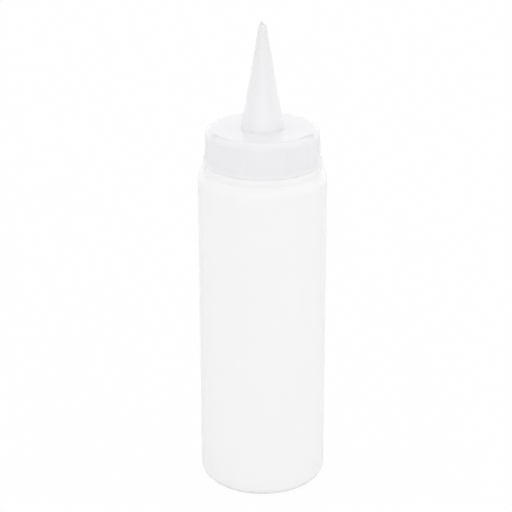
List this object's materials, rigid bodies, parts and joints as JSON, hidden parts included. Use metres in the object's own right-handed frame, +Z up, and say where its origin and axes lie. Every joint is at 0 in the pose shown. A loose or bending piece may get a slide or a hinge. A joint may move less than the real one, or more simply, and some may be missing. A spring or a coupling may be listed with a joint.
{
  "type": "condiment squeeze bottle",
  "caption": "Round plastic squeeze bottle for sauces, with a rounded shoulder, a ribbed screw cap and a tall cone nozzle.",
  "frame": {"origin": "centre of the standing ring, on the surface that the bottle stands on", "axes": "+Z up along the bottle's axis, towards the nozzle's tip; the picture looks along +Y"},
  "size_m": [0.059, 0.059, 0.2223],
  "materials": {
    "milky_polyethylene": "satin, milky and translucent",
    "glossy_polyethylene": "glossy, faintly bluish and translucent"
  },
  "bodies": {
    "bottle": {"bottle_body": "milky_polyethylene"},
    "cap": {"nozzle_cap": "glossy_polyethylene"}
  },
  "joints": [
    {"name": "cap_lift", "type": "slide", "parent": "bottle", "child": "cap", "axis": [0, 0, 1], "range_m": [0, 0.05]}
  ]
}
